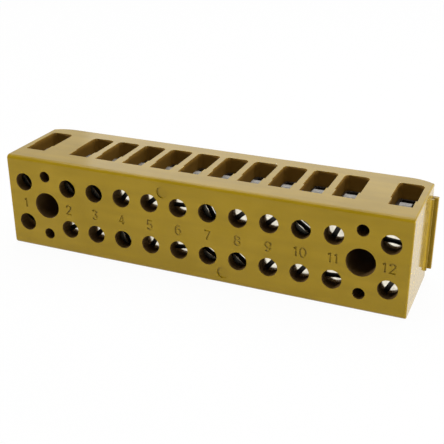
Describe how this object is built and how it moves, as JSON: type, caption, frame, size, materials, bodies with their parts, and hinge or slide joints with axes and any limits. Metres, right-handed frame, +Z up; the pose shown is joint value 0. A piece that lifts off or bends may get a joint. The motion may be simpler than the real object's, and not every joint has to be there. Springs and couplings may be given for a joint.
{
  "type": "screw terminal strip",
  "caption": "Moulded terminal strip with two rows of screw clamps, top and bottom wire entries, mounting holes and end rails.",
  "frame": {"origin": "middle of the lower face, which the strip rests on", "axes": "+X along the strip to the right as seen from the screws, +Y from the screw face to the back, +Z up to the upper wire entries"},
  "size_m": [0.1116, 0.025, 0.0258],
  "materials": {
    "housing": "matte",
    "bar_metal": "nickel plated",
    "yoke_steel": "zinc plated",
    "screw_steel": "zinc plated"
  },
  "bodies": {
    "housing": {"housing": "housing", "current_bars": "bar_metal"},
    "clamp_yoke_upper_01": {"clamp_yoke_upper_01": "yoke_steel"},
    "clamp_screw_upper_01": {"clamp_screw_upper_01": "screw_steel"},
    "clamp_yoke_upper_02": {"clamp_yoke_upper_02": "yoke_steel"},
    "clamp_screw_upper_02": {"clamp_screw_upper_02": "screw_steel"},
    "clamp_yoke_upper_03": {"clamp_yoke_upper_03": "yoke_steel"},
    "clamp_screw_upper_03": {"clamp_screw_upper_03": "screw_steel"},
    "clamp_yoke_upper_04": {"clamp_yoke_upper_04": "yoke_steel"},
    "clamp_screw_upper_04": {"clamp_screw_upper_04": "screw_steel"},
    "clamp_yoke_upper_05": {"clamp_yoke_upper_05": "yoke_steel"},
    "clamp_screw_upper_05": {"clamp_screw_upper_05": "screw_steel"},
    "clamp_yoke_upper_06": {"clamp_yoke_upper_06": "yoke_steel"},
    "clamp_screw_upper_06": {"clamp_screw_upper_06": "screw_steel"},
    "clamp_yoke_upper_07": {"clamp_yoke_upper_07": "yoke_steel"},
    "clamp_screw_upper_07": {"clamp_screw_upper_07": "screw_steel"},
    "clamp_yoke_upper_08": {"clamp_yoke_upper_08": "yoke_steel"},
    "clamp_screw_upper_08": {"clamp_screw_upper_08": "screw_steel"},
    "clamp_yoke_upper_09": {"clamp_yoke_upper_09": "yoke_steel"},
    "clamp_screw_upper_09": {"clamp_screw_upper_09": "screw_steel"},
    "clamp_yoke_upper_10": {"clamp_yoke_upper_10": "yoke_steel"},
    "clamp_screw_upper_10": {"clamp_screw_upper_10": "screw_steel"},
    "clamp_yoke_upper_11": {"clamp_yoke_upper_11": "yoke_steel"},
    "clamp_screw_upper_11": {"clamp_screw_upper_11": "screw_steel"},
    "clamp_yoke_upper_12": {"clamp_yoke_upper_12": "yoke_steel"},
    "clamp_screw_upper_12": {"clamp_screw_upper_12": "screw_steel"},
    "clamp_yoke_lower_01": {"clamp_yoke_lower_01": "yoke_steel"},
    "clamp_screw_lower_01": {"clamp_screw_lower_01": "screw_steel"},
    "clamp_yoke_lower_02": {"clamp_yoke_lower_02": "yoke_steel"},
    "clamp_screw_lower_02": {"clamp_screw_lower_02": "screw_steel"},
    "clamp_yoke_lower_03": {"clamp_yoke_lower_03": "yoke_steel"},
    "clamp_screw_lower_03": {"clamp_screw_lower_03": "screw_steel"},
    "clamp_yoke_lower_04": {"clamp_yoke_lower_04": "yoke_steel"},
    "clamp_screw_lower_04": {"clamp_screw_lower_04": "screw_steel"},
    "clamp_yoke_lower_05": {"clamp_yoke_lower_05": "yoke_steel"},
    "clamp_screw_lower_05": {"clamp_screw_lower_05": "screw_steel"},
    "clamp_yoke_lower_06": {"clamp_yoke_lower_06": "yoke_steel"},
    "clamp_screw_lower_06": {"clamp_screw_lower_06": "screw_steel"},
    "clamp_yoke_lower_07": {"clamp_yoke_lower_07": "yoke_steel"},
    "clamp_screw_lower_07": {"clamp_screw_lower_07": "screw_steel"},
    "clamp_yoke_lower_08": {"clamp_yoke_lower_08": "yoke_steel"},
    "clamp_screw_lower_08": {"clamp_screw_lower_08": "screw_steel"},
    "clamp_yoke_lower_09": {"clamp_yoke_lower_09": "yoke_steel"},
    "clamp_screw_lower_09": {"clamp_screw_lower_09": "screw_steel"},
    "clamp_yoke_lower_10": {"clamp_yoke_lower_10": "yoke_steel"},
    "clamp_screw_lower_10": {"clamp_screw_lower_10": "screw_steel"},
    "clamp_yoke_lower_11": {"clamp_yoke_lower_11": "yoke_steel"},
    "clamp_screw_lower_11": {"clamp_screw_lower_11": "screw_steel"},
    "clamp_yoke_lower_12": {"clamp_yoke_lower_12": "yoke_steel"},
    "clamp_screw_lower_12": {"clamp_screw_lower_12": "screw_steel"}
  },
  "joints": [
    {"name": "screw_turn_upper_01", "type": "hinge", "parent": "housing", "child": "clamp_screw_upper_01", "pos_m": [-0.0494, -0.01045, 0.0187], "axis": [0, 1, 0], "range_deg": [0, 2880]},
    {"name": "yoke_travel_upper_01", "type": "slide", "parent": "housing", "child": "clamp_yoke_upper_01", "axis": [0, -1, 0], "range_m": [0, 0.004]},
    {"name": "screw_turn_upper_02", "type": "hinge", "parent": "housing", "child": "clamp_screw_upper_02", "pos_m": [-0.036, -0.01045, 0.0187], "axis": [0, 1, 0], "range_deg": [0, 2880]},
    {"name": "yoke_travel_upper_02", "type": "slide", "parent": "housing", "child": "clamp_yoke_upper_02", "axis": [0, -1, 0], "range_m": [0, 0.004]},
    {"name": "screw_turn_upper_03", "type": "hinge", "parent": "housing", "child": "clamp_screw_upper_03", "pos_m": [-0.028, -0.01045, 0.0187], "axis": [0, 1, 0], "range_deg": [0, 2880]},
    {"name": "yoke_travel_upper_03", "type": "slide", "parent": "housing", "child": "clamp_yoke_upper_03", "axis": [0, -1, 0], "range_m": [0, 0.004]},
    {"name": "screw_turn_upper_04", "type": "hinge", "parent": "housing", "child": "clamp_screw_upper_04", "pos_m": [-0.02, -0.01045, 0.0187], "axis": [0, 1, 0], "range_deg": [0, 2880]},
    {"name": "yoke_travel_upper_04", "type": "slide", "parent": "housing", "child": "clamp_yoke_upper_04", "axis": [0, -1, 0], "range_m": [0, 0.004]},
    {"name": "screw_turn_upper_05", "type": "hinge", "parent": "housing", "child": "clamp_screw_upper_05", "pos_m": [-0.012, -0.01045, 0.0187], "axis": [0, 1, 0], "range_deg": [0, 2880]},
    {"name": "yoke_travel_upper_05", "type": "slide", "parent": "housing", "child": "clamp_yoke_upper_05", "axis": [0, -1, 0], "range_m": [0, 0.004]},
    {"name": "screw_turn_upper_06", "type": "hinge", "parent": "housing", "child": "clamp_screw_upper_06", "pos_m": [-0.004, -0.01045, 0.0187], "axis": [0, 1, 0], "range_deg": [0, 2880]},
    {"name": "yoke_travel_upper_06", "type": "slide", "parent": "housing", "child": "clamp_yoke_upper_06", "axis": [0, -1, 0], "range_m": [0, 0.004]},
    {"name": "screw_turn_upper_07", "type": "hinge", "parent": "housing", "child": "clamp_screw_upper_07", "pos_m": [0.004, -0.01045, 0.0187], "axis": [0, 1, 0], "range_deg": [0, 2880]},
    {"name": "yoke_travel_upper_07", "type": "slide", "parent": "housing", "child": "clamp_yoke_upper_07", "axis": [0, -1, 0], "range_m": [0, 0.004]},
    {"name": "screw_turn_upper_08", "type": "hinge", "parent": "housing", "child": "clamp_screw_upper_08", "pos_m": [0.012, -0.01045, 0.0187], "axis": [0, 1, 0], "range_deg": [0, 2880]},
    {"name": "yoke_travel_upper_08", "type": "slide", "parent": "housing", "child": "clamp_yoke_upper_08", "axis": [0, -1, 0], "range_m": [0, 0.004]},
    {"name": "screw_turn_upper_09", "type": "hinge", "parent": "housing", "child": "clamp_screw_upper_09", "pos_m": [0.02, -0.01045, 0.0187], "axis": [0, 1, 0], "range_deg": [0, 2880]},
    {"name": "yoke_travel_upper_09", "type": "slide", "parent": "housing", "child": "clamp_yoke_upper_09", "axis": [0, -1, 0], "range_m": [0, 0.004]},
    {"name": "screw_turn_upper_10", "type": "hinge", "parent": "housing", "child": "clamp_screw_upper_10", "pos_m": [0.028, -0.01045, 0.0187], "axis": [0, 1, 0], "range_deg": [0, 2880]},
    {"name": "yoke_travel_upper_10", "type": "slide", "parent": "housing", "child": "clamp_yoke_upper_10", "axis": [0, -1, 0], "range_m": [0, 0.004]},
    {"name": "screw_turn_upper_11", "type": "hinge", "parent": "housing", "child": "clamp_screw_upper_11", "pos_m": [0.036, -0.01045, 0.0187], "axis": [0, 1, 0], "range_deg": [0, 2880]},
    {"name": "yoke_travel_upper_11", "type": "slide", "parent": "housing", "child": "clamp_yoke_upper_11", "axis": [0, -1, 0], "range_m": [0, 0.004]},
    {"name": "screw_turn_upper_12", "type": "hinge", "parent": "housing", "child": "clamp_screw_upper_12", "pos_m": [0.0494, -0.01045, 0.0187], "axis": [0, 1, 0], "range_deg": [0, 2880]},
    {"name": "yoke_travel_upper_12", "type": "slide", "parent": "housing", "child": "clamp_yoke_upper_12", "axis": [0, -1, 0], "range_m": [0, 0.004]},
    {"name": "screw_turn_lower_01", "type": "hinge", "parent": "housing", "child": "clamp_screw_lower_01", "pos_m": [-0.0494, -0.01045, 0.0071], "axis": [0, 1, 0], "range_deg": [0, 2880]},
    {"name": "yoke_travel_lower_01", "type": "slide", "parent": "housing", "child": "clamp_yoke_lower_01", "axis": [0, -1, 0], "range_m": [0, 0.004]},
    {"name": "screw_turn_lower_02", "type": "hinge", "parent": "housing", "child": "clamp_screw_lower_02", "pos_m": [-0.036, -0.01045, 0.0071], "axis": [0, 1, 0], "range_deg": [0, 2880]},
    {"name": "yoke_travel_lower_02", "type": "slide", "parent": "housing", "child": "clamp_yoke_lower_02", "axis": [0, -1, 0], "range_m": [0, 0.004]},
    {"name": "screw_turn_lower_03", "type": "hinge", "parent": "housing", "child": "clamp_screw_lower_03", "pos_m": [-0.028, -0.01045, 0.0071], "axis": [0, 1, 0], "range_deg": [0, 2880]},
    {"name": "yoke_travel_lower_03", "type": "slide", "parent": "housing", "child": "clamp_yoke_lower_03", "axis": [0, -1, 0], "range_m": [0, 0.004]},
    {"name": "screw_turn_lower_04", "type": "hinge", "parent": "housing", "child": "clamp_screw_lower_04", "pos_m": [-0.02, -0.01045, 0.0071], "axis": [0, 1, 0], "range_deg": [0, 2880]},
    {"name": "yoke_travel_lower_04", "type": "slide", "parent": "housing", "child": "clamp_yoke_lower_04", "axis": [0, -1, 0], "range_m": [0, 0.004]},
    {"name": "screw_turn_lower_05", "type": "hinge", "parent": "housing", "child": "clamp_screw_lower_05", "pos_m": [-0.012, -0.01045, 0.0071], "axis": [0, 1, 0], "range_deg": [0, 2880]},
    {"name": "yoke_travel_lower_05", "type": "slide", "parent": "housing", "child": "clamp_yoke_lower_05", "axis": [0, -1, 0], "range_m": [0, 0.004]},
    {"name": "screw_turn_lower_06", "type": "hinge", "parent": "housing", "child": "clamp_screw_lower_06", "pos_m": [-0.004, -0.01045, 0.0071], "axis": [0, 1, 0], "range_deg": [0, 2880]},
    {"name": "yoke_travel_lower_06", "type": "slide", "parent": "housing", "child": "clamp_yoke_lower_06", "axis": [0, -1, 0], "range_m": [0, 0.004]},
    {"name": "screw_turn_lower_07", "type": "hinge", "parent": "housing", "child": "clamp_screw_lower_07", "pos_m": [0.004, -0.01045, 0.0071], "axis": [0, 1, 0], "range_deg": [0, 2880]},
    {"name": "yoke_travel_lower_07", "type": "slide", "parent": "housing", "child": "clamp_yoke_lower_07", "axis": [0, -1, 0], "range_m": [0, 0.004]},
    {"name": "screw_turn_lower_08", "type": "hinge", "parent": "housing", "child": "clamp_screw_lower_08", "pos_m": [0.012, -0.01045, 0.0071], "axis": [0, 1, 0], "range_deg": [0, 2880]},
    {"name": "yoke_travel_lower_08", "type": "slide", "parent": "housing", "child": "clamp_yoke_lower_08", "axis": [0, -1, 0], "range_m": [0, 0.004]},
    {"name": "screw_turn_lower_09", "type": "hinge", "parent": "housing", "child": "clamp_screw_lower_09", "pos_m": [0.02, -0.01045, 0.0071], "axis": [0, 1, 0], "range_deg": [0, 2880]},
    {"name": "yoke_travel_lower_09", "type": "slide", "parent": "housing", "child": "clamp_yoke_lower_09", "axis": [0, -1, 0], "range_m": [0, 0.004]},
    {"name": "screw_turn_lower_10", "type": "hinge", "parent": "housing", "child": "clamp_screw_lower_10", "pos_m": [0.028, -0.01045, 0.0071], "axis": [0, 1, 0], "range_deg": [0, 2880]},
    {"name": "yoke_travel_lower_10", "type": "slide", "parent": "housing", "child": "clamp_yoke_lower_10", "axis": [0, -1, 0], "range_m": [0, 0.004]},
    {"name": "screw_turn_lower_11", "type": "hinge", "parent": "housing", "child": "clamp_screw_lower_11", "pos_m": [0.036, -0.01045, 0.0071], "axis": [0, 1, 0], "range_deg": [0, 2880]},
    {"name": "yoke_travel_lower_11", "type": "slide", "parent": "housing", "child": "clamp_yoke_lower_11", "axis": [0, -1, 0], "range_m": [0, 0.004]},
    {"name": "screw_turn_lower_12", "type": "hinge", "parent": "housing", "child": "clamp_screw_lower_12", "pos_m": [0.0494, -0.01045, 0.0071], "axis": [0, 1, 0], "range_deg": [0, 2880]},
    {"name": "yoke_travel_lower_12", "type": "slide", "parent": "housing", "child": "clamp_yoke_lower_12", "axis": [0, -1, 0], "range_m": [0, 0.004]}
  ],
  "couplings": [
    {"joint": "screw_turn_upper_01", "follows": "yoke_travel_upper_01", "rad_per_m": 12566},
    {"joint": "screw_turn_upper_02", "follows": "yoke_travel_upper_02", "rad_per_m": 12566},
    {"joint": "screw_turn_upper_03", "follows": "yoke_travel_upper_03", "rad_per_m": 12566},
    {"joint": "screw_turn_upper_04", "follows": "yoke_travel_upper_04", "rad_per_m": 12566},
    {"joint": "screw_turn_upper_05", "follows": "yoke_travel_upper_05", "rad_per_m": 12566},
    {"joint": "screw_turn_upper_06", "follows": "yoke_travel_upper_06", "rad_per_m": 12566},
    {"joint": "screw_turn_upper_07", "follows": "yoke_travel_upper_07", "rad_per_m": 12566},
    {"joint": "screw_turn_upper_08", "follows": "yoke_travel_upper_08", "rad_per_m": 12566},
    {"joint": "screw_turn_upper_09", "follows": "yoke_travel_upper_09", "rad_per_m": 12566},
    {"joint": "screw_turn_upper_10", "follows": "yoke_travel_upper_10", "rad_per_m": 12566},
    {"joint": "screw_turn_upper_11", "follows": "yoke_travel_upper_11", "rad_per_m": 12566},
    {"joint": "screw_turn_upper_12", "follows": "yoke_travel_upper_12", "rad_per_m": 12566},
    {"joint": "screw_turn_lower_01", "follows": "yoke_travel_lower_01", "rad_per_m": 12566},
    {"joint": "screw_turn_lower_02", "follows": "yoke_travel_lower_02", "rad_per_m": 12566},
    {"joint": "screw_turn_lower_03", "follows": "yoke_travel_lower_03", "rad_per_m": 12566},
    {"joint": "screw_turn_lower_04", "follows": "yoke_travel_lower_04", "rad_per_m": 12566},
    {"joint": "screw_turn_lower_05", "follows": "yoke_travel_lower_05", "rad_per_m": 12566},
    {"joint": "screw_turn_lower_06", "follows": "yoke_travel_lower_06", "rad_per_m": 12566},
    {"joint": "screw_turn_lower_07", "follows": "yoke_travel_lower_07", "rad_per_m": 12566},
    {"joint": "screw_turn_lower_08", "follows": "yoke_travel_lower_08", "rad_per_m": 12566},
    {"joint": "screw_turn_lower_09", "follows": "yoke_travel_lower_09", "rad_per_m": 12566},
    {"joint": "screw_turn_lower_10", "follows": "yoke_travel_lower_10", "rad_per_m": 12566},
    {"joint": "screw_turn_lower_11", "follows": "yoke_travel_lower_11", "rad_per_m": 12566},
    {"joint": "screw_turn_lower_12", "follows": "yoke_travel_lower_12", "rad_per_m": 12566}
  ]
}
